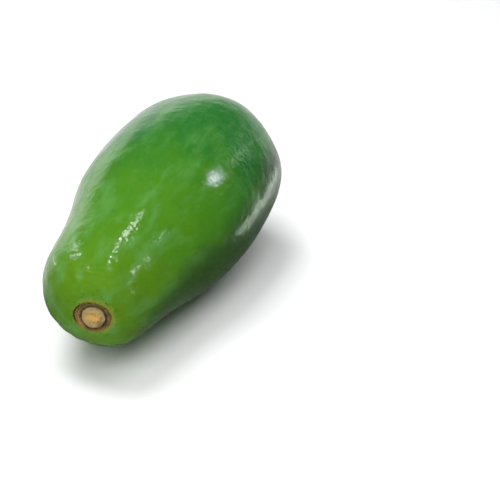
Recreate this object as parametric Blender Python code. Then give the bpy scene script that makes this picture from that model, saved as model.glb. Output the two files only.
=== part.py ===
"""A whole unripe papaya, lying on its side, with the cut stub of its stalk.

Metres, +Z up. The fruit lies along Y, with its stem end at -Y and its blossom end at +Y,
and the origin is below the middle of its box, on the surface that it rests on.
"""
import math

import bmesh
import bpy
import numpy as np
from mathutils import Matrix, Vector

# Driving dimensions of the fruit
LENGTH = 0.236
HALF_WIDTH = 0.060
HEIGHT_RATIO = 0.972
# Girth against an ellipsoid's, every 30 degrees from the stem pole to the blossom pole
GIRTH = (0.968, 0.957, 0.782, 0.917, 1.067, 1.175, 0.921)
STEM_DIP = math.radians(4.0)
REST_DEPTH = 0.001

# Stem end: the scar sits off the fruit's axis, on a slanted cap that blends into the neck
SCAR_ANGLE = math.radians(12.0)
CAP_ANGLE = math.radians(42.0)
SCAR_SHIFT_X = 0.0118
SCAR_SHIFT_Z = 0.0069
CAP_SLANT_X = 0.25
CAP_SLANT_Z = 0.02

# Five soft ridges run the length of the fruit, one for each of its seed walls
RIDGES = 5
RIDGE_PHASE = math.radians(-2.0)
RIDGE_RISE = 0.024
# Share of their rise that the ridges lose at the fruit's middle
RIDGE_WAIST_LOSS = 0.8

# Stub of the cut stalk, and the socket that it sits in
STUB_RADIUS = 0.0071
STUB_HEIGHT = 0.0011
STUB_CROWN = 0.0004
STUB_BEVEL = 0.0005
SOCKET_DEPTH = 0.0030
SOCKET_FLOOR_RADIUS = 0.0041
GAP = 0.0003

# Corky collar round the socket: distance from the stalk's middle, height over the flat scar
SCAR_SINK = 0.0019
COLLAR_SECTION = ((0.0081, 0.0005), (0.0101, 0.0004), (0.0113, -0.0002))
# Shallow moat round the collar: distance from the stalk's middle, depth below the skin
MOAT_SECTION = ((0.0125, 0.0005), (0.0140, 0.0003), (0.0175, 0.0))

# Dried blossom scar at the far end, with its last two rings as shares of its radius
BLOSSOM_RADIUS = 0.0045
BLOSSOM_RISE = 0.0016
BLOSSOM_RINGS = (1.3, 0.6)

SIDES = 60
BODY_RINGS = 34
SHARP_ANGLE = math.radians(35.0)

SKIN_GREEN = (0.075, 0.235, 0.012, 1.0)
STUB_TAN = (0.480, 0.350, 0.160, 1.0)


def clear_scene():
    for item in list(bpy.data.objects):
        bpy.data.objects.remove(item, do_unlink=True)


def plain_material(name, colour, roughness):
    material = bpy.data.materials.new(name)
    material.use_nodes = True
    shader = material.node_tree.nodes["Principled BSDF"]
    shader.inputs["Base Color"].default_value = colour
    shader.inputs["Roughness"].default_value = roughness
    shader.inputs["Metallic"].default_value = 0.0
    return material


def add_object(name, bm, material):
    bmesh.ops.recalc_face_normals(bm, faces=bm.faces)
    mesh = bpy.data.meshes.new(name)
    bm.to_mesh(mesh)
    bm.free()
    mesh.materials.append(material)
    mesh.shade_smooth()
    mesh.set_sharp_from_angle(angle=SHARP_ANGLE)
    item = bpy.data.objects.new(name, mesh)
    bpy.context.scene.collection.objects.link(item)
    return item


def smooth_step(value):
    value = min(max(value, 0.0), 1.0)
    return value * value * (3 - 2 * value)


def girth_series():
    """Cosine series through the girths: it meets both poles level, so they stay smooth."""
    stations = np.linspace(0.0, math.pi, len(GIRTH))
    orders = np.arange(len(GIRTH))
    return np.linalg.solve(np.cos(np.outer(stations, orders)), GIRTH)


SERIES = girth_series()


def girth(theta):
    return sum(weight * math.cos(order * theta) for order, weight in enumerate(SERIES))


def ridge(theta, phi):
    """Ridges are strongest on the neck and the far shoulder, and fade out at both poles."""
    fade = math.sin(theta) ** 2 * (1.0 + RIDGE_WAIST_LOSS * math.cos(2 * theta))
    return 1.0 + RIDGE_RISE * fade * math.cos(RIDGES * (phi - RIDGE_PHASE))


def skin_point(theta, phi):
    """Point of the skin: theta runs from the stem pole, phi from +X up to +Z."""
    radius = HALF_WIDTH * math.sin(theta) * girth(theta) * ridge(theta, phi)
    side = radius * math.cos(phi)
    rise = radius * math.sin(phi)
    cap = smooth_step((CAP_ANGLE - theta) / (CAP_ANGLE - SCAR_ANGLE))
    along = -LENGTH / 2 * math.cos(theta)
    along += cap * (side * CAP_SLANT_X + rise * CAP_SLANT_Z)
    return Vector((side + cap * SCAR_SHIFT_X, along, rise * HEIGHT_RATIO + cap * SCAR_SHIFT_Z))


def scar_frame():
    """Frame on the flat scar, with its Z axis out along the stalk."""
    outward = Vector((CAP_SLANT_X, -1.0, CAP_SLANT_Z / HEIGHT_RATIO)).normalized()
    across = Vector((1.0, 0.0, 0.0))
    across = (across - across.dot(outward) * outward).normalized()
    frame = Matrix((across, outward.cross(across), outward)).transposed().to_4x4()
    frame.translation = skin_point(0.0, 0.0) - outward * SCAR_SINK
    return frame


def scar_ring(distance, height, count):
    """Round ring of points about the stalk, at a height over the flat scar."""
    frame = scar_frame()
    turns = [2 * math.pi * number / count for number in range(count)]
    return [
        frame @ Vector((distance * math.cos(turn), distance * math.sin(turn), height))
        for turn in turns
    ]


def scar_stations():
    """Distance from the stalk's middle and height over the scar, from the socket outwards."""
    wall = STUB_RADIUS + GAP
    socket = [(SOCKET_FLOOR_RADIUS, -SOCKET_DEPTH), (wall, -SOCKET_DEPTH), (wall, 0.0)]
    return socket + list(COLLAR_SECTION)


def blossom_rise(theta):
    """The blossom scar is a low nub on the far pole."""
    distance = HALF_WIDTH * GIRTH[-1] * (math.pi - theta)
    return BLOSSOM_RISE * smooth_step(1 - distance / (2 * BLOSSOM_RADIUS))


def ring_angles():
    """Angle of every ring past the scar, with closer ones round the blossom scar."""
    last_scar_ring = MOAT_SECTION[-1][0] / (HALF_WIDTH * GIRTH[0])
    nub = BLOSSOM_RADIUS / (HALF_WIDTH * GIRTH[-1])
    step = (math.pi - 2 * nub - last_scar_ring) / BODY_RINGS
    angles = [last_scar_ring + step * (number + 1) for number in range(BODY_RINGS)]
    return angles + [math.pi - share * nub for share in BLOSSOM_RINGS]


def fruit_rings():
    """Rings of points from the socket's floor to the blossom end."""
    outward = scar_frame().to_3x3().col[2]
    turns = [2 * math.pi * number / SIDES for number in range(SIDES)]
    rings = [scar_ring(distance, height, SIDES) for distance, height in scar_stations()]
    for distance, depth in MOAT_SECTION:
        theta = distance / (HALF_WIDTH * GIRTH[0])
        rings.append([skin_point(theta, phi) - outward * depth for phi in turns])
    for theta in ring_angles():
        lift = Vector((0.0, blossom_rise(theta), 0.0))
        rings.append([skin_point(theta, phi) + lift for phi in turns])
    return rings


def crown_rise(distance):
    """The stub's cut is worn into a low, even crown."""
    return STUB_CROWN * (1 - (distance / STUB_RADIUS) ** 2)


def stub_rings():
    """Rings of points up the stub, from its foot to its cut."""
    foot = GAP - SOCKET_DEPTH
    narrow = STUB_RADIUS - STUB_BEVEL
    stations = [
        (narrow, foot),
        (STUB_RADIUS, foot + STUB_BEVEL),
        (STUB_RADIUS, STUB_HEIGHT - STUB_BEVEL),
        (narrow, STUB_HEIGHT + crown_rise(narrow)),
        (STUB_RADIUS / 2, STUB_HEIGHT + crown_rise(STUB_RADIUS / 2)),
    ]
    return [scar_ring(distance, height, SIDES // 2) for distance, height in stations]


def close_rings(bm, rings, first_pole, last_pole):
    loops = [[bm.verts.new(point) for point in ring] for ring in rings]
    first = bm.verts.new(first_pole)
    last = bm.verts.new(last_pole)
    count = len(loops[0])
    for side in range(count):
        after = (side + 1) % count
        bm.faces.new((first, loops[0][side], loops[0][after]))
        bm.faces.new((last, loops[-1][after], loops[-1][side]))
        for near, far in zip(loops, loops[1:]):
            bm.faces.new((near[side], far[side], far[after], near[after]))


def resting_place():
    """Dips the stem end, centres the box over the origin and brings the rest flat to z = 0."""
    turn = Matrix.Rotation(STEM_DIP, 4, "X")
    points = [turn @ point for ring in fruit_rings() + stub_rings() for point in ring]
    lowest = [min(point[axis] for point in points) for axis in range(3)]
    highest = [max(point[axis] for point in points) for axis in range(3)]
    middle = [(low + high) / 2 for low, high in zip(lowest, highest)]
    return Matrix.Translation((-middle[0], -middle[1], -lowest[2] - REST_DEPTH)) @ turn


def flatten_rest(bm):
    """Cuts the small flat where the fruit's weight rests."""
    bmesh.ops.triangulate(bm, faces=bm.faces)
    everything = list(bm.verts) + list(bm.edges) + list(bm.faces)
    bmesh.ops.bisect_plane(
        bm, geom=everything, dist=1e-6, plane_co=(0, 0, 0), plane_no=(0, 0, -1), clear_outer=True
    )
    rim = [edge for edge in bm.edges if edge.is_boundary]
    for vert in {vert for edge in rim for vert in edge.verts}:
        vert.co.z = 0.0
    bmesh.ops.holes_fill(bm, edges=rim, sides=0)


def make_fruit(place):
    """The fruit: skin, flesh and corky collar grown as one body, with the stalk's socket."""
    bm = bmesh.new()
    socket_floor = scar_frame() @ Vector((0.0, 0.0, -SOCKET_DEPTH))
    blossom_tip = skin_point(math.pi, 0.0) + Vector((0.0, BLOSSOM_RISE, 0.0))
    close_rings(bm, fruit_rings(), socket_floor, blossom_tip)
    bm.transform(place)
    flatten_rest(bm)
    return add_object("papaya_fruit", bm, plain_material("green_skin", SKIN_GREEN, 0.3))


def make_stub(place):
    """The short woody stub of the cut stalk, loose in its socket by the gap all round."""
    bm = bmesh.new()
    frame = scar_frame()
    foot = frame @ Vector((0.0, 0.0, GAP - SOCKET_DEPTH))
    crown = frame @ Vector((0.0, 0.0, STUB_HEIGHT + STUB_CROWN))
    close_rings(bm, stub_rings(), foot, crown)
    bm.transform(place)
    return add_object("stem_stub", bm, plain_material("cut_stalk", STUB_TAN, 0.8))


clear_scene()
rest_place = resting_place()
make_fruit(rest_place)
make_stub(rest_place)
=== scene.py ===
import math

import bpy
import numpy as np
from mathutils import Matrix, Vector, noise


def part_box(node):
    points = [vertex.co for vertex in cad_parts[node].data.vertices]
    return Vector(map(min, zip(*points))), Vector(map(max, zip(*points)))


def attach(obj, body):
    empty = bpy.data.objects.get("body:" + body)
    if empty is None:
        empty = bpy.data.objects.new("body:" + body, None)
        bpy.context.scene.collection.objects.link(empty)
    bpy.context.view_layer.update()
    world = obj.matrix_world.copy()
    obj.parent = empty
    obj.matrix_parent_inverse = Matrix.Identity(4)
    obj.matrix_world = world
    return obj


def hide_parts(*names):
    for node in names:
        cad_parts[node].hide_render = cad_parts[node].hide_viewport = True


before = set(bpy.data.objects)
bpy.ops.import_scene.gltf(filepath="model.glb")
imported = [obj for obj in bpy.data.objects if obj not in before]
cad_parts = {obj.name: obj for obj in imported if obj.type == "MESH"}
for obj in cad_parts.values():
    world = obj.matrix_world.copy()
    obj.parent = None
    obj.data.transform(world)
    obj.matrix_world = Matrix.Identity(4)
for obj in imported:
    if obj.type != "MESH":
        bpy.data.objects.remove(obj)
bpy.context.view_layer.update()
bpy.ops.object.select_all(action="DESELECT")

# Camera
# A long lens on a stand, before the stem end and a little to its right, looking down on the
# fruit. The fruit lies left of the picture's middle, and above it.
CAMERA_AZIMUTH = math.radians(20.84)
CAMERA_ELEVATION = math.radians(28.71)
CAMERA_DISTANCE = 0.9
CAMERA_LENS = 103.8
FRUIT_LEFT_OF_MIDDLE = 0.0565
FRUIT_ABOVE_MIDDLE = 0.0245
FRUIT_MIDDLE = Vector((0.0, 0.0, 0.059))


def direction(azimuth, elevation):
    """Unit vector towards a place round the fruit: azimuth 0 is before its stem end."""
    level = math.cos(elevation)
    return Vector((math.sin(azimuth) * level, -math.cos(azimuth) * level, math.sin(elevation)))


camera_back = direction(CAMERA_AZIMUTH, CAMERA_ELEVATION)
camera_right = Vector((math.cos(CAMERA_AZIMUTH), math.sin(CAMERA_AZIMUTH), 0.0))
camera_up = camera_back.cross(camera_right)
aim = FRUIT_MIDDLE + camera_right * FRUIT_LEFT_OF_MIDDLE - camera_up * FRUIT_ABOVE_MIDDLE
camera_data = bpy.data.cameras.new("camera")
camera_data.lens = CAMERA_LENS
camera = bpy.data.objects.new("camera", camera_data)
bpy.context.scene.collection.objects.link(camera)
camera.location = aim + camera_back * CAMERA_DISTANCE
camera.rotation_mode = "QUATERNION"
camera.rotation_quaternion = (-camera_back).to_track_quat("-Z", "Y")
bpy.context.scene.camera = camera

# Skin of the fruit
# A papaya is a berry with a thin, tough and waxy skin, grown in one piece from the stalk to
# the dried blossom. It is picked green and hard, and lies on its belly.
LENGTH = 0.236
HALF_WIDTH = 0.060
HEIGHT_RATIO = 0.972
# Girth against an ellipsoid's, every 30 degrees from the stem pole to the blossom pole
GIRTH = (0.968, 0.957, 0.782, 0.917, 1.067, 1.175, 0.921)
STEM_DIP = math.radians(4.0)
# The stalk scar sits off the fruit's axis, on a slanted cap that blends into the neck
SCAR_ANGLE = math.radians(12.0)
CAP_ANGLE = math.radians(42.0)
SCAR_SHIFT = (0.0118, 0.0069)
CAP_SLANT = (0.25, 0.02)
# Soft ridges run the length of the fruit, one for each seed wall
RIDGES = 5
RIDGE_PHASE = math.radians(-2.0)
RIDGE_RISE = 0.024
RIDGE_WAIST_LOSS = 0.8
# Puckers in the skin round the stem end
FOLDS = 13
FOLD_RISE = 0.010
FOLD_ANGLE = math.radians(26.0)
FOLD_SPREAD = math.radians(8.0)
FOLD_WANDER = 2
FOLD_WANDER_TURNS = 3
# Two low sinews on the top of the neck
SINEWS = (math.radians(68.0), math.radians(43.5))
SINEW_MIDDLE = math.radians(51.0)
SINEW_REACH = math.radians(11.0)
SINEW_WIDTH = math.radians(5.0)
SINEW_RISE = 0.002
# Wrinkles above the stalk: their place is an angle from the stem pole and one round it
WRINKLE_PLACE = (math.radians(26.0), math.radians(92.0))
WRINKLE_SPREAD = (math.radians(4.5), math.radians(24.0))
WRINKLE_STEP = math.radians(4.2)
WRINKLE_RISE = 0.009
WRINKLE_WANDER = 1.5
WRINKLE_WANDER_TURNS = 5
SCAR_SINK = 0.0019
SCAR_OFF_POLE = (0.0001, -0.0016)
NUB_RISE = 0.0016
# Mean reach of the collar round the stalk, and how far it leaves a circle
COLLAR_REACH = 0.01035
COLLAR_TO_LEFT = 0.0008
COLLAR_TO_TOP = 0.0006
COLLAR_OVAL = 0.00075
PIT_INSIDE_COLLAR = 0.0003
PIT_WALL = 0.0007
PIT_DEPTH = 0.0034
SKIN_AROUND = 320
SKIN_ALONG = 280


def smooth_step(value):
    value = np.clip(value, 0.0, 1.0)
    return value * value * (3 - 2 * value)


def ridged_girth(theta, phi):
    """Girth against an ellipsoid's, with the ridges along it."""
    stations = np.linspace(0.0, math.pi, len(GIRTH))
    orders = np.arange(len(GIRTH))
    series = np.linalg.solve(np.cos(np.outer(stations, orders)), GIRTH)
    girth = np.cos(np.outer(theta, orders)) @ series
    fade = np.sin(theta) ** 2 * (1 + RIDGE_WAIST_LOSS * np.cos(2 * theta))
    return girth * (1 + RIDGE_RISE * fade * np.cos(RIDGES * (phi - RIDGE_PHASE)))


def creased_girth(theta, phi):
    """The same girth with the puckers, sinews and wrinkles of the stem end."""
    girth = ridged_girth(theta, phi)
    pucker = np.exp(-((theta - FOLD_ANGLE) / FOLD_SPREAD) ** 2)
    folds = np.cos(FOLDS * phi + FOLD_WANDER * np.sin(FOLD_WANDER_TURNS * phi))
    girth *= 1 + FOLD_RISE * pucker * folds
    for turn in SINEWS:
        across = np.exp(-((phi - turn) / SINEW_WIDTH) ** 2)
        girth *= 1 + SINEW_RISE * across * np.exp(-((theta - SINEW_MIDDLE) / SINEW_REACH) ** 4)
    place = (theta - WRINKLE_PLACE[0], phi - WRINKLE_PLACE[1])
    wrinkled = np.exp(-(place[0] / WRINKLE_SPREAD[0]) ** 2 - (place[1] / WRINKLE_SPREAD[1]) ** 2)
    wander = WRINKLE_WANDER * np.sin(WRINKLE_WANDER_TURNS * phi)
    wave = np.cos(2 * math.pi * place[0] / WRINKLE_STEP + wander)
    return girth * (1 + WRINKLE_RISE * wrinkled * wave)


def skin_points(theta, phi):
    """Points of the skin: theta runs from the stem pole, phi from +X up to +Z."""
    radius = HALF_WIDTH * np.sin(theta) * creased_girth(theta, phi)
    side = radius * np.cos(phi)
    rise = radius * np.sin(phi)
    cap = smooth_step((CAP_ANGLE - theta) / (CAP_ANGLE - SCAR_ANGLE))
    along = -LENGTH / 2 * np.cos(theta)
    along = along + cap * (side * CAP_SLANT[0] + rise * CAP_SLANT[1])
    side = side + cap * SCAR_SHIFT[0]
    rise = rise * HEIGHT_RATIO + cap * SCAR_SHIFT[1]
    return np.stack([side, along, rise], 1)


def scar_frame():
    """Frame on the flat stalk scar, with its Z axis out along the stalk."""
    outward = Vector((CAP_SLANT[0], -1.0, CAP_SLANT[1] / HEIGHT_RATIO)).normalized()
    across = Vector((1.0, 0.0, 0.0))
    across = (across - across.dot(outward) * outward).normalized()
    made = Matrix((across, outward.cross(across), outward)).transposed().to_4x4()
    pole = Vector(skin_points(np.zeros(1), np.zeros(1))[0])
    made.translation = pole - outward * SCAR_SINK
    return made @ Matrix.Translation((SCAR_OFF_POLE[0], SCAR_OFF_POLE[1], 0.0))


def collar_reach(turn):
    """Outer edge of the corky collar: wide at the left, and flattened below the stalk."""
    reach = COLLAR_REACH - COLLAR_TO_LEFT * np.cos(turn) + COLLAR_TO_TOP * np.sin(turn)
    return reach + COLLAR_OVAL * np.cos(2 * turn)


def read_points(piece):
    points = np.empty(len(piece.data.vertices) * 3)
    piece.data.vertices.foreach_get("co", points)
    return points.reshape(-1, 3)


def write_points(piece, points):
    piece.data.vertices.foreach_set("co", np.ravel(points))
    piece.data.update()


def turned(points, matrix):
    matrix = np.array(matrix)
    return points @ matrix[:3, :3].T + matrix[:3, 3]


bpy.ops.mesh.primitive_uv_sphere_add(
    segments=SKIN_AROUND, ring_count=SKIN_ALONG, radius=1.0, rotation=(math.pi / 2, 0.0, 0.0)
)
skin = bpy.context.active_object
skin.name = "papaya_skin"
bpy.ops.object.transform_apply(location=False, rotation=True, scale=False)
ball = read_points(skin)
skin_theta = np.arccos(np.clip(-ball[:, 1], -1.0, 1.0))
skin_phi = np.arctan2(ball[:, 2], ball[:, 0])
shape = skin_points(skin_theta, skin_phi)

# The pit that holds the stalk and its collar
stalk = scar_frame()
local = turned(shape, stalk.inverted())
reach = np.hypot(local[:, 0], local[:, 1])
pit_edge = collar_reach(np.arctan2(local[:, 1], local[:, 0])) - PIT_INSIDE_COLLAR
pit = smooth_step((pit_edge - reach) / PIT_WALL) * (skin_theta < CAP_ANGLE)
local[:, 2] = local[:, 2] * (1 - pit) - PIT_DEPTH * pit
shape = turned(local, stalk)

# The fruit lies where its construction model does, whose box ends at the tip of a nub
dip = Matrix.Rotation(STEM_DIP, 4, "X")
shape = turned(shape, dip)
low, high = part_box("papaya_fruit")
nub_tip = dip @ Vector((0.0, LENGTH / 2 + NUB_RISE, 0.0))
shift = Vector((
    (low.x + high.x) / 2 - (shape[:, 0].min() + shape[:, 0].max()) / 2,
    high.y - nub_tip.y,
    high.z - shape[:, 2].max(),
))
rest_place = Matrix.Translation(shift) @ dip
stalk = rest_place @ stalk
write_points(skin, shape + np.array(shift))


def roughen(piece, name, size, height, depth):
    """Soft random unevenness of a surface: size is its grain, height its whole range."""
    texture = bpy.data.textures.new(name, "CLOUDS")
    texture.noise_scale = size
    texture.noise_depth = depth
    modifier = piece.modifiers.new(name, "DISPLACE")
    modifier.texture = texture
    modifier.texture_coords = "LOCAL"
    modifier.strength = height
    modifier.mid_level = 0.5
    bpy.context.view_layer.objects.active = piece
    bpy.ops.object.modifier_apply(modifier=name)


roughen(skin, "broad_swells", size=0.060, height=0.0020, depth=1)
roughen(skin, "small_dents", size=0.014, height=0.0007, depth=2)

# Its weight presses the belly flat
shape = read_points(skin)
shape[:, 2] = np.maximum(shape[:, 2], 0.0)
write_points(skin, shape)
bpy.ops.object.shade_smooth()


class Paint:
    """Short names for the nodes that a finish is mixed from."""

    def __init__(self, name):
        self.material = bpy.data.materials.new(name)
        self.material.use_nodes = True
        self.tree = self.material.node_tree
        self.shader = self.tree.nodes["Principled BSDF"]
        self.place = self.tree.nodes.new("ShaderNodeTexCoord").outputs["Object"]

    def link(self, source, target):
        self.tree.links.new(source, target)

    def fill(self, sockets, values):
        """Puts each value, a number or a socket, in its own socket."""
        for socket, value in zip(sockets, values):
            if isinstance(value, bpy.types.NodeSocket):
                self.link(value, socket)
            else:
                socket.default_value = value

    def axes(self):
        """Object coordinates one by one, as sockets X, Y and Z."""
        node = self.tree.nodes.new("ShaderNodeSeparateXYZ")
        self.link(self.place, node.inputs["Vector"])
        return node.outputs

    def moved(self, origin=(0, 0, 0), turn=(0, 0, 0), scale=(1, 1, 1)):
        """Object coordinates about another origin, turned and stretched."""
        node = self.tree.nodes.new("ShaderNodeMapping")
        node.vector_type = "TEXTURE"
        node.inputs["Location"].default_value = origin
        node.inputs["Rotation"].default_value = turn
        node.inputs["Scale"].default_value = scale
        self.link(self.place, node.inputs["Vector"])
        return node.outputs["Vector"]

    def noise(self, size, detail=2.0, where=None, roughness=0.5):
        """Random value from 0 to 1 whose grain is size metres."""
        node = self.tree.nodes.new("ShaderNodeTexNoise")
        node.inputs["Scale"].default_value = 1 / size
        node.inputs["Detail"].default_value = detail
        node.inputs["Roughness"].default_value = roughness
        self.link(where or self.place, node.inputs["Vector"])
        return node.outputs["Fac"]

    def cells(self, size, feature="F1"):
        """Distance from the middles of random cells that are size metres apart."""
        node = self.tree.nodes.new("ShaderNodeTexVoronoi")
        node.feature = feature
        node.inputs["Scale"].default_value = 1 / size
        self.link(self.place, node.inputs["Vector"])
        return node.outputs["Distance"]

    def range(self, value, start, end, low=0.0, high=1.0):
        """Smoothly from low to high as the value goes from start to end."""
        node = self.tree.nodes.new("ShaderNodeMapRange")
        node.interpolation_type = "SMOOTHSTEP"
        self.fill(node.inputs, (value, start, end, low, high))
        return node.outputs[0]

    def reckon(self, operation, *values):
        node = self.tree.nodes.new("ShaderNodeMath")
        node.operation = operation
        self.fill(node.inputs, values)
        return node.outputs[0]

    def plus(self, first, second):
        return self.reckon("ADD", first, second)

    def times(self, first, second):
        return self.reckon("MULTIPLY", first, second)

    def distance(self, centre, where=None):
        node = self.tree.nodes.new("ShaderNodeVectorMath")
        node.operation = "DISTANCE"
        node.inputs[1].default_value = centre
        self.link(where or self.place, node.inputs[0])
        return node.outputs["Value"]

    def off_axis(self, where):
        """Distance from the Z axis of coordinates that were moved."""
        node = self.tree.nodes.new("ShaderNodeVectorMath")
        node.operation = "MULTIPLY"
        node.inputs[1].default_value = (1.0, 1.0, 0.0)
        self.link(where, node.inputs[0])
        return self.distance((0, 0, 0), node.outputs["Vector"])

    def blend(self, factor, first, second):
        """Colour between first and second, each a colour or a socket."""
        node = self.tree.nodes.new("ShaderNodeMix")
        node.data_type = "RGBA"
        self.link(factor, node.inputs[0])
        sockets = [socket for socket in node.inputs if socket.type == "RGBA"]
        colours = [(*c, 1.0) if isinstance(c, tuple) else c for c in (first, second)]
        self.fill(sockets, colours)
        return [socket for socket in node.outputs if socket.type == "RGBA"][0]

    def relief(self, height, strength, reach, under=None):
        """Bump of a height socket from 0 to 1, reach metres deep, over another bump."""
        node = self.tree.nodes.new("ShaderNodeBump")
        node.inputs["Strength"].default_value = strength
        node.inputs["Distance"].default_value = reach
        self.link(height, node.inputs["Height"])
        if under:
            self.link(under, node.inputs["Normal"])
        return node.outputs["Normal"]

    def finish(self, piece, colour, normal, **settings):
        """Gives the piece this finish, with further settings of the shader by name."""
        self.link(colour, self.shader.inputs["Base Color"])
        self.link(normal, self.shader.inputs["Normal"])
        sockets = [self.shader.inputs[name.replace("_", " ")] for name in settings]
        self.fill(sockets, settings.values())
        piece.data.materials.clear()
        piece.data.materials.append(self.material)


DEEP_GREEN = (0.015, 0.136, 0.018)
LEAF_GREEN = (0.057, 0.200, 0.006)
YELLOW_GREEN = (0.084, 0.203, 0.005)
# Painted shade: the darker green that the right flank is coloured with
PAINTED_SHADE_GREEN = (0.017, 0.056, 0.005)
PALE_GREEN = (0.100, 0.280, 0.070)
HALO_OLIVE = (0.230, 0.250, 0.030)
RUST = (0.190, 0.095, 0.010)
SPECK_BROWN = (0.060, 0.045, 0.010)
# Sizes of the patterns in the skin and its wax
UNEVEN_SIZE = 0.034
STREAK_SIZE = 0.0095
STREAK_STRETCH = 5.0
MOTTLE_SIZE = 0.0080
DOT_STEP = 0.0028
SPECK_SIZE = 0.0012
SWELL_SIZE = 0.0060
CRINKLE_STEP = 0.0026
GRAIN_SIZE = 0.0014
GRAIN_SHARE = 0.45
FINE_SIZE = 0.0009
# The green turns lighter and yellower away from the far shoulder
FAR_SHOULDER = (-0.02, 0.15, 0.09)
RIPENING_DRIFT = 0.018
DEEP_TO_LEAF = (0.118, 0.205)
LEAF_TO_YELLOW = (0.190, 0.290)
# Painted shade darkens the right flank: below a sloping line, right of another, before the far
# end
FLANK_SLOPE = 0.22
FLANK_DRIFT = 0.004
FLANK_BELOW = (0.075, 0.052)
FLANK_RIGHT_OF = (0.012, 0.044)
FLANK_BEFORE = (0.112, 0.085)
PAINTED_SHADE_DARKNESS = 0.86
# Reaches of the olive halo, the rust and the specks round the stalk
RAGGED_BY = 0.006
HALO_REACH = (0.0164, 0.0140)
RUST_REACH = (0.0144, 0.0126)
SPECK_REACH = (0.0200, 0.0120)
# Depths of the swells, of the crinkle in the wax and of its finest grain
SWELL_DEPTH = 0.00028
CRINKLE_DEPTH = 0.00020
FINE_DEPTH = 0.00002
FLANK_CRINKLE = 0.25
# Roughness of the wax from its glossiest mottle to its dullest, and what changes it
WAX_ROUGHNESS = (0.17, 0.21)
COARSE_POLISH = 0.07
FLANK_DULLNESS = 0.06
# Places where the wax is more crinkled, their reach, and how many times as deep it is there.
# It is at its deepest over the core, which is this share of the reach.
PATCH_CORE = 0.6
COARSE_PATCHES = (
    ((0.014, -0.074, 0.083), 0.026, 1.0),
    ((0.027, -0.073, 0.073), 0.024, 1.1),
    ((0.039, -0.002, 0.090), 0.018, 2.3),
    ((0.042, 0.027, 0.091), 0.016, 1.3),
    ((-0.009, -0.094, 0.077), 0.014, 1.0),
    ((-0.020, -0.098, 0.070), 0.012, 1.0),
    ((0.006, -0.107, 0.074), 0.014, 1.0),
)

paint = Paint("green_skin")
uneven = paint.noise(UNEVEN_SIZE, 3.0)
from_far_end = paint.distance(FAR_SHOULDER)
drift = paint.range(uneven, 0.25, 0.75, -RIPENING_DRIFT, RIPENING_DRIFT)
ripening = paint.plus(from_far_end, drift)
colour = paint.blend(paint.range(ripening, *DEEP_TO_LEAF), DEEP_GREEN, LEAF_GREEN)
colour = paint.blend(paint.range(ripening, *LEAF_TO_YELLOW), colour, YELLOW_GREEN)

# Pale streaks along the fruit, soft mottling and pale dots
lengthwise = paint.moved(scale=(1.0, STREAK_STRETCH, 1.0))
streak = paint.noise(STREAK_SIZE, 3.0, lengthwise, 0.55)
streak_strength = paint.range(ripening, 0.10, 0.22, 0.30, 0.55)
streaked = paint.times(paint.range(streak, 0.46, 0.70), streak_strength)
colour = paint.blend(streaked, colour, PALE_GREEN)
mottle = paint.noise(MOTTLE_SIZE, 4.0, None, 0.6)
colour = paint.blend(paint.range(mottle, 0.52, 0.75, 0.0, 0.25), colour, PALE_GREEN)
colour = paint.blend(paint.range(mottle, 0.45, 0.25, 0.0, 0.35), colour, DEEP_GREEN)
dots = paint.cells(DOT_STEP)
colour = paint.blend(paint.range(dots, 0.22, 0.10, 0.0, 0.25), colour, PALE_GREEN)

# Painted shade: the right flank is coloured darker green, as if it lay in shade
axes = paint.axes()
level = paint.plus(axes["Z"], paint.times(axes["Y"], -FLANK_SLOPE))
level = paint.plus(level, paint.range(uneven, 0.25, 0.75, -FLANK_DRIFT, FLANK_DRIFT))
to_right = paint.range(axes["X"], *FLANK_RIGHT_OF)
before_far_end = paint.range(axes["Y"], *FLANK_BEFORE)
painted_shade_flank = paint.times(to_right, before_far_end)
painted_shade_flank = paint.times(paint.range(level, *FLANK_BELOW), painted_shade_flank)
colour = paint.blend(paint.times(painted_shade_flank, PAINTED_SHADE_DARKNESS), colour, PAINTED_SHADE_GREEN)

# Olive halo, rust and specks round the stalk
scar_reach = paint.distance(tuple(stalk.translation))
ragged = paint.plus(scar_reach, paint.times(paint.noise(0.0025, 4.0), RAGGED_BY))
colour = paint.blend(paint.range(ragged, *HALO_REACH, 0.0, 0.60), colour, HALO_OLIVE)
colour = paint.blend(paint.range(ragged, *RUST_REACH, 0.0, 0.70), colour, RUST)
specks = paint.range(paint.noise(SPECK_SIZE, 2.0), 0.60, 0.70)
near_scar = paint.range(scar_reach, *SPECK_REACH)
colour = paint.blend(paint.times(specks, near_scar), colour, SPECK_BROWN)

# Crinkled wax over soft swells, smoother on the flank
coarse = paint.range(paint.noise(0.012, 2.0), 0.35, 0.75, 0.25, 0.60)
coarse = paint.times(coarse, paint.range(painted_shade_flank, 0.0, 1.0, 1.0, FLANK_CRINKLE))
for place, reach, depth in COARSE_PATCHES:
    patch = paint.range(paint.distance(place), reach, reach * PATCH_CORE, 0.0, depth)
    coarse = paint.reckon("MAXIMUM", coarse, patch)
swell = paint.relief(paint.noise(SWELL_SIZE, 2.0), 1.0, SWELL_DEPTH)
grain = paint.times(paint.noise(GRAIN_SIZE, 2.0), GRAIN_SHARE)
pits = paint.plus(paint.cells(CRINKLE_STEP, "SMOOTH_F1"), grain)
crinkle = paint.relief(paint.times(pits, coarse), 1.0, CRINKLE_DEPTH, swell)
normal = paint.relief(paint.noise(FINE_SIZE, 2.0), 0.2, FINE_DEPTH, crinkle)
polish = paint.range(coarse, 1.1, 2.0, 0.0, -COARSE_POLISH)
wax = paint.plus(paint.range(mottle, 0.3, 0.7, *WAX_ROUGHNESS), polish)
wax = paint.plus(wax, paint.times(painted_shade_flank, FLANK_DULLNESS))
paint.finish(
    skin, colour, normal,
    Roughness=wax, IOR=1.36,
    Subsurface_Weight=0.08, Subsurface_Radius=(0.4, 1.0, 0.2), Subsurface_Scale=0.004,
)
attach(skin, "root")
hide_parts("papaya_fruit")

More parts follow.
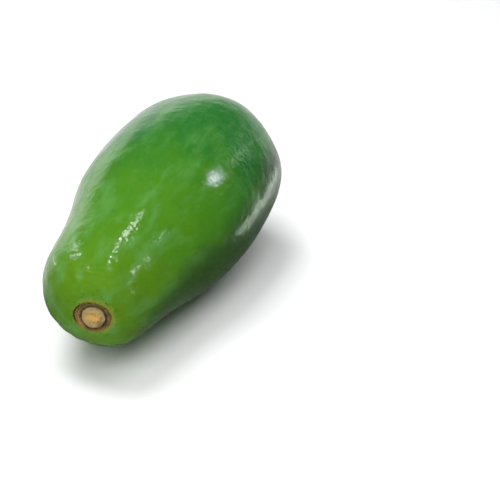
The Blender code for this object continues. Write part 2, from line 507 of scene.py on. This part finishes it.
# Corky collar round the stalk
# Where the stalk broke free, the skin heals into a ring of brown, cracked cork. It is grown
# on the fruit, a little proud of the skin, and its edge is ragged.
COLLAR_INNER = 0.0073
COLLAR_OUTER = 0.0110
COLLAR_SIDES = 192
# Distance from the stalk's middle and height over the scar: up the inner wall, over the
# top and down the outer wall
COLLAR_PROFILE = (
    (COLLAR_INNER, -0.0032),
    (COLLAR_INNER, -0.0002),
    (COLLAR_INNER + 0.0003, 0.0003),
    (COLLAR_INNER + 0.0010, 0.0006),
    (COLLAR_INNER + 0.0020, 0.0005),
    (COLLAR_OUTER - 0.0009, 0.0004),
    (COLLAR_OUTER - 0.0003, 0.0001),
    (COLLAR_OUTER, -0.0006),
    (COLLAR_OUTER - 0.0001, -0.0030),
)
EDGE_WAVES = 2.2
EDGE_RAGGEDNESS = 0.0004
LUMPS_PER_METRE = 700
LUMP_HEIGHT = 0.0003
CRACK_WAVES = 4.0
CRACK_START = 0.15
CRACK_DEPTH = 0.0009
# Only what lies above this is lumpy and cracked: the rest is hidden in the pit
SEEN_ABOVE = -0.001
CRISP_EDGE = math.radians(50)


def turn_ring(name, profile, sides):
    """A ring turned on the Z axis: a circle is drawn out from station to station."""
    radius, height = profile[0]
    bpy.ops.mesh.primitive_circle_add(vertices=sides, radius=radius, location=(0, 0, height))
    piece = bpy.context.active_object
    piece.name = name
    bpy.ops.object.transform_apply(location=True)
    bpy.ops.object.mode_set(mode="EDIT")
    bpy.ops.mesh.select_all(action="SELECT")
    for new_radius, new_height in profile[1:]:
        bpy.ops.mesh.extrude_edges_move(
            TRANSFORM_OT_translate={"value": (0.0, 0.0, new_height - height)}
        )
        ratio = new_radius / radius
        bpy.ops.transform.resize(value=(ratio, ratio, 1.0), center_override=(0, 0, 0))
        radius, height = new_radius, new_height
    bpy.ops.object.mode_set(mode="OBJECT")
    return piece


def close_turning(join):
    """Closes the active turned ring, whose open loops the join operator fills or bridges."""
    bpy.ops.object.mode_set(mode="EDIT")
    bpy.ops.mesh.select_all(action="DESELECT")
    bpy.ops.mesh.select_non_manifold(extend=False)
    join()
    bpy.ops.mesh.select_all(action="SELECT")
    bpy.ops.mesh.normals_make_consistent(inside=False)
    bpy.ops.object.mode_set(mode="OBJECT")


collar = turn_ring("corky_collar", COLLAR_PROFILE, COLLAR_SIDES)
close_turning(bpy.ops.mesh.bridge_edge_loops)
points = read_points(collar)
for point in points:
    turn = math.atan2(point[1], point[0])
    around = Vector((EDGE_WAVES * math.cos(turn), EDGE_WAVES * math.sin(turn), 0.0))
    distance = math.hypot(point[0], point[1])
    outer = (distance - COLLAR_INNER) / (COLLAR_OUTER - COLLAR_INNER)
    ragged_edge = EDGE_RAGGEDNESS * (noise.noise(around) + 0.5 * noise.noise(around * 3.1))
    reached = COLLAR_INNER + outer * (collar_reach(turn) + ragged_edge - COLLAR_INNER)
    point[:2] *= reached / distance
    if point[2] > SEEN_ABOVE:
        flat_place = Vector((point[0], point[1], 0.0))
        lump = noise.noise(flat_place * LUMPS_PER_METRE) * LUMP_HEIGHT
        crack = min(0.0, noise.noise(around * CRACK_WAVES) + CRACK_START) * CRACK_DEPTH * outer
        point[2] += lump + crack
write_points(collar, turned(points, stalk))
bpy.ops.object.shade_smooth_by_angle(angle=CRISP_EDGE)

CORK_TAN = (0.320, 0.165, 0.045)
CORK_PALE = (0.270, 0.190, 0.055)
CORK_OLIVE = (0.115, 0.078, 0.018)
CORK_BROWN = (0.100, 0.050, 0.010)
CORK_DARK = (0.026, 0.014, 0.003)
# Middle of the tan side, and how far from it the tan turns to olive
TAN_MIDDLE = (-0.0105, -0.0020, 0.0)
TAN_REACH = (0.0035, 0.0095)
GROWTH_RING = 0.0008
INNER_CRACK = (0.0086, 0.0080)
OUTER_CRACK = (0.0108, 0.0118)
GRIT_DEPTH = 0.0003

paint = Paint("cork")
stalk_middle = tuple(stalk.translation)
stalk_turn = tuple(stalk.to_euler())
about_stalk = paint.moved(stalk_middle, stalk_turn)
wobble = paint.times(paint.noise(0.0022, 3.0), 0.0018)
out = paint.plus(paint.off_axis(about_stalk), wobble)
from_left = paint.distance(TAN_MIDDLE, about_stalk)
colour = paint.blend(paint.range(from_left, *TAN_REACH), CORK_TAN, CORK_OLIVE)
layers = paint.noise(0.0012, 3.0, paint.moved(stalk_middle, stalk_turn, (1.0, 1.0, 6.0)))
colour = paint.blend(paint.range(layers, 0.50, 0.62, 0.0, 0.75), colour, CORK_BROWN)
faded = paint.range(paint.noise(0.0026, 3.0), 0.50, 0.64, 0.0, 0.55)
colour = paint.blend(faded, colour, CORK_PALE)
rings = paint.range(paint.reckon("PINGPONG", out, GROWTH_RING), 0.00045, 0.00070)
broken = paint.range(paint.noise(0.0032), 0.42, 0.54)
rings = paint.times(rings, broken)
colour = paint.blend(paint.times(rings, 0.85), colour, CORK_DARK)
colour = paint.blend(paint.range(out, *OUTER_CRACK), colour, CORK_DARK)
colour = paint.blend(paint.range(out, *INNER_CRACK), colour, CORK_DARK)
grit = paint.noise(0.0007, 4.0, None, 0.7)
colour = paint.blend(paint.range(grit, 0.55, 0.75, 0.0, 0.7), colour, CORK_DARK)
normal = paint.relief(grit, 0.8, GRIT_DEPTH)
paint.finish(collar, colour, normal, Roughness=0.85)
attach(collar, "root")
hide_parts("papaya_fruit")

# Stub of the stalk
# The cut stalk dries to a pale woody disc in the middle of the scar, with a harder rim, rays
# and a resinous orange pith. A dark crack runs round it.
STUB_RADIUS = 0.0070
STUB_SIDES = 160
STUB_TALLER = 1.02
# Distance from the stalk's middle and height over the scar, from the foot to the middle
STUB_PROFILE = (
    (STUB_RADIUS - 0.0005, -0.0029),
    (STUB_RADIUS, -0.0020),
    (STUB_RADIUS, 0.0004),
    (STUB_RADIUS - 0.0002, 0.0008),
    (STUB_RADIUS - 0.0006, 0.0011),
    (STUB_RADIUS - 0.0012, 0.0011),
    (STUB_RADIUS - 0.0018, 0.0009),
    (0.0040, 0.0009),
    (0.0030, 0.0010),
    (0.0022, 0.0011),
    (0.0014, 0.0009),
    (0.0006, 0.0008),
)
# The knife left a rim of several flats, each uneven
STUB_CORNERS = 7
FLAT_DEPTH = 0.055
FLAT_PHASE = 0.66
FLAT_UNEVENNESS = 0.02
RAY_WAVES = 7.0
RAY_HEIGHT = 0.00018
FIBRES_PER_METRE = 1100
FIBRE_HEIGHT = 0.00016

stub = turn_ring("stalk_stub", STUB_PROFILE, STUB_SIDES)
close_turning(bpy.ops.mesh.edge_face_add)
points = read_points(stub)
for point in points:
    turn = math.atan2(point[1], point[0])
    around = Vector((math.cos(turn), math.sin(turn), 0.7))
    flats = FLAT_DEPTH * abs(math.sin(STUB_CORNERS / 2 * turn + FLAT_PHASE))
    flats -= FLAT_UNEVENNESS * noise.noise(around * 2.0)
    point[:2] *= 1 - flats
    if point[2] > 0.0:
        flat_place = Vector((point[0], point[1], 0.0))
        rays = noise.noise(around * RAY_WAVES) * RAY_HEIGHT
        fibres = noise.noise(flat_place * FIBRES_PER_METRE) * FIBRE_HEIGHT
        point[2] += rays + fibres
points[:, 1] *= STUB_TALLER
write_points(stub, turned(points, stalk))
bpy.ops.object.shade_smooth_by_angle(angle=CRISP_EDGE)

STALK_PALE = (0.330, 0.265, 0.120)
STALK_TAN = (0.430, 0.305, 0.110)
STALK_BROWN = (0.160, 0.090, 0.022)
PITH_ORANGE = (0.680, 0.370, 0.075)
# The pith is wider than it is high
PITH_STRETCH = (1.35, 0.75, 2.0)
PITH_REACH = (0.0020, 0.0048)
RIM_REACH = (0.0052, 0.0070)
ARC_REACH = 0.0044
WORN_PLACE = (0.0052, -0.0052, 0.0)
WORN_REACH = (0.0058, 0.0030)
RIM_CRACK = (0.0076, 0.0081)

paint = Paint("cut_stalk")
about_stalk = paint.moved(stalk_middle, stalk_turn)
wobble = paint.times(paint.noise(0.0020, 3.0), 0.0016)
out = paint.plus(paint.off_axis(about_stalk), wobble)
about_pith = paint.moved(stalk_middle, stalk_turn, PITH_STRETCH)
from_pith = paint.plus(paint.distance((0, 0, 0), about_pith), wobble)
colour = paint.blend(paint.range(from_pith, *PITH_REACH), PITH_ORANGE, STALK_TAN)
colour = paint.blend(paint.range(out, *RIM_REACH), colour, STALK_PALE)
off_arc = paint.reckon("ABSOLUTE", paint.reckon("SUBTRACT", from_pith, ARC_REACH))
broken = paint.range(paint.noise(0.0034), 0.48, 0.58)
arcs = paint.times(paint.range(off_arc, 0.0007, 0.0001), broken)
colour = paint.blend(paint.times(arcs, 0.75), colour, STALK_BROWN)
worn = paint.plus(paint.distance(WORN_PLACE, about_stalk), wobble)
colour = paint.blend(paint.range(worn, *WORN_REACH, 0.0, 0.8), colour, STALK_BROWN)
colour = paint.blend(paint.range(out, *RIM_CRACK), colour, STALK_BROWN)
fibre = paint.noise(0.0012, 4.0, None, 0.7)
colour = paint.blend(paint.range(fibre, 0.46, 0.72, 0.0, 0.65), colour, STALK_BROWN)
normal = paint.relief(fibre, 0.8, GRIT_DEPTH)
paint.finish(stub, colour, normal, Roughness=0.75)
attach(stub, "root")
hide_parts("stem_stub")

# Dried blossom scar
# At the far end a small dark nub is left where the blossom withered and fell. It is grown on
# the fruit, in a shallow star of folds.
NUB_SIDES = 90
NUB_STAR = 0.10
NUB_UNEVENNESS = 0.08
NUB_PROFILE = (
    (0.0046, -0.0012),
    (0.0040, 0.0001),
    (0.0032, 0.0006),
    (0.0024, 0.0008),
    (0.0014, 0.0006),
    (0.0006, 0.0004),
)
nub = turn_ring("blossom_scar", NUB_PROFILE, NUB_SIDES)
close_turning(bpy.ops.mesh.edge_face_add)
points = read_points(nub)
for point in points:
    turn = math.atan2(point[1], point[0])
    around = Vector((2 * math.cos(turn), 2 * math.sin(turn), 5.0))
    star = 1 + NUB_STAR * math.cos(RIDGES * turn)
    point[:2] *= star + NUB_UNEVENNESS * noise.noise(around)
tip = Vector(skin_points(np.full(1, math.pi), np.zeros(1))[0])
nub_place = rest_place @ Matrix.Translation(tip) @ Matrix.Rotation(-math.pi / 2, 4, "X")
write_points(nub, turned(points, nub_place))
bpy.ops.object.shade_smooth_by_angle(angle=CRISP_EDGE)

paint = Paint("dried_blossom")
grit = paint.noise(0.0009, 4.0, None, 0.7)
colour = paint.blend(paint.range(grit, 0.35, 0.65), CORK_BROWN, CORK_DARK)
normal = paint.relief(grit, 0.8, GRIT_DEPTH)
paint.finish(nub, colour, normal, Roughness=0.85)
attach(nub, "root")
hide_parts("papaya_fruit")

# Floor and light
# A white sheet lies under the fruit. Wide lamps hang above its left side, before it and at its
# right, and small ones put the bright glints on the wax.
FLOOR_WIDTH = 8.0
FLOOR_BELOW = 0.0002
bpy.ops.mesh.primitive_plane_add(size=FLOOR_WIDTH, location=(0.0, 0.0, -FLOOR_BELOW))
floor = bpy.context.active_object
floor.name = "floor"
floor_paint = bpy.data.materials.new("white_sheet")
floor_paint.use_nodes = True
floor_shader = floor_paint.node_tree.nodes["Principled BSDF"]
floor_shader.inputs["Base Color"].default_value = (0.93, 0.93, 0.94, 1.0)
floor_shader.inputs["Roughness"].default_value = 0.9
floor_shader.inputs["Specular IOR Level"].default_value = 0.1
floor.data.materials.append(floor_paint)
floor.visible_glossy = False


def place_lamp(name, data, azimuth, elevation, distance, aim):
    """Hangs a lamp in a direction from the place that it faces."""
    lamp = bpy.data.objects.new(name, data)
    bpy.context.scene.collection.objects.link(lamp)
    towards = direction(math.radians(azimuth), math.radians(elevation))
    lamp.location = Vector(aim) + towards * distance
    lamp.rotation_mode = "QUATERNION"
    lamp.rotation_quaternion = towards.to_track_quat("Z", "Y")
    return lamp


def softbox(name, width, height, power):
    """Data of a flat lamp of this width and height in metres, and power in watts."""
    data = bpy.data.lights.new(name, "AREA")
    data.shape = "RECTANGLE"
    data.size = width
    data.size_y = height
    data.energy = power
    return data


# Three wide ones that the wax doesn't mirror: name, azimuth, elevation, power
WIDE_DISTANCE = 1.6
WIDE_SIDE = 1.0
WIDE_LAMPS = (
    ("key_lamp", -95.0, 72.0, 21.5),
    ("front_lamp", 8.0, 43.0, 14.5),
    ("right_lamp", 90.0, 64.0, 9.0),
)
for name, azimuth, elevation, power in WIDE_LAMPS:
    data = softbox(name, WIDE_SIDE, WIDE_SIDE, power)
    wide_lamp = place_lamp(name, data, azimuth, elevation, WIDE_DISTANCE, FRUIT_MIDDLE)
    wide_lamp.visible_glossy = False

# One that only the wax shows, as a window behind at the left: its azimuth, elevation and
# distance
WINDOW_PLACE = (-125.0, 14.0, 1.5)
WINDOW_SIDE = 0.50
WINDOW_POWER = 0.6
data = softbox("window", WINDOW_SIDE, WINDOW_SIDE, WINDOW_POWER)
window = place_lamp("window", data, *WINDOW_PLACE, FRUIT_MIDDLE)
window.visible_diffuse = False

# Small spots behind the fruit, each on one place of the wax: name, place, azimuth, elevation,
# reach on the wax, radius of the lamp, power
SPOT_DISTANCE = 0.4
SPOT_BLEND = 0.8
GLINTS = (
    ("high_neck", (0.0135, -0.0690, 0.0838), 165.0, 63.0, 0.014, 0.004, 0.95),
    ("low_neck", (0.0130, -0.0860, 0.0797), 151.0, 67.0, 0.014, 0.004, 1.30),
    ("right_neck", (0.0265, -0.0855, 0.0696), 114.5, 28.0, 0.009, 0.004, 0.60),
    ("right_neck_top", (0.0275, -0.0616, 0.0764), 122.0, 33.5, 0.008, 0.003, 0.22),
    ("belly", (0.0391, -0.0016, 0.0897), 130.7, 30.2, 0.0070, 0.003, 4.40),
    ("far_belly", (0.0417, 0.0249, 0.0913), 147.2, 18.9, 0.009, 0.004, 0.10),
    ("left_neck", (-0.0104, -0.0927, 0.0775), -118.0, 33.0, 0.006, 0.003, 0.50),
    ("left_stem", (-0.0207, -0.0977, 0.0697), -109.8, 5.9, 0.006, 0.003, 0.25),
    ("stem_top", (0.0055, -0.1070, 0.0735), -74.0, 66.0, 0.011, 0.005, 0.90),
    ("right_stem", (0.0271, -0.0976, 0.0643), 132.9, 15.6, 0.006, 0.004, 0.08),
)
for name, place, azimuth, elevation, reach, soft, power in GLINTS:
    data = bpy.data.lights.new(name + "_spot", "SPOT")
    data.energy = power
    data.shadow_soft_size = soft
    data.spot_size = 2 * math.atan(reach / SPOT_DISTANCE)
    data.spot_blend = SPOT_BLEND
    spot = place_lamp(name + "_spot", data, azimuth, elevation, SPOT_DISTANCE, place)
    spot.visible_diffuse = False

# A strip of light low at the right, which draws the bright line along the flank
STRIP_MIDDLE = (0.118, 0.180, 0.002)
STRIP_SIZE = (0.015, 0.220)
STRIP_POWER = 0.070
STRIP_COLOUR = (0.82, 1.0, 0.80)
data = softbox("low_strip", *STRIP_SIZE, STRIP_POWER)
data.color = STRIP_COLOUR
strip = bpy.data.objects.new("low_strip", data)
bpy.context.scene.collection.objects.link(strip)
strip.location = STRIP_MIDDLE
strip.rotation_euler = (math.pi, 0.0, 0.0)
strip.visible_diffuse = False
strip.visible_camera = False

# The room is dark before the fruit, overhead, at its right and close under it, and a white
# backdrop stands behind. Each row is an axis of the gaze, and where along it the backdrop
# comes up.
BACKDROP_FADES = (("X", 0.50, 0.38), ("Y", -0.1, 0.6), ("Z", 0.50, 0.15), ("Z", -0.58, -0.34))
ROOM_BRIGHTNESS = 0.11
BACKDROP_BRIGHTNESS = 1.10
world = bpy.data.worlds.new("studio")
world.use_nodes = True
tree = world.node_tree
gaze = tree.nodes.new("ShaderNodeSeparateXYZ")
tree.links.new(tree.nodes.new("ShaderNodeTexCoord").outputs["Generated"], gaze.inputs["Vector"])
shown = None
for axis, start, end in BACKDROP_FADES:
    fade = tree.nodes.new("ShaderNodeMapRange")
    fade.interpolation_type = "SMOOTHSTEP"
    fade.inputs["From Min"].default_value = start
    fade.inputs["From Max"].default_value = end
    tree.links.new(gaze.outputs[axis], fade.inputs["Value"])
    if shown is None:
        shown = fade.outputs["Result"]
        continue
    both = tree.nodes.new("ShaderNodeMath")
    both.operation = "MULTIPLY"
    tree.links.new(shown, both.inputs[0])
    tree.links.new(fade.outputs["Result"], both.inputs[1])
    shown = both.outputs["Value"]
brightness = tree.nodes.new("ShaderNodeMapRange")
brightness.inputs["To Min"].default_value = ROOM_BRIGHTNESS
brightness.inputs["To Max"].default_value = BACKDROP_BRIGHTNESS
tree.links.new(shown, brightness.inputs["Value"])
tree.links.new(brightness.outputs["Result"], tree.nodes["Background"].inputs["Strength"])
tree.nodes["Background"].inputs["Color"].default_value = (1.0, 1.0, 1.0, 1.0)
bpy.context.scene.world = world
bpy.context.scene.view_settings.view_transform = "Standard"
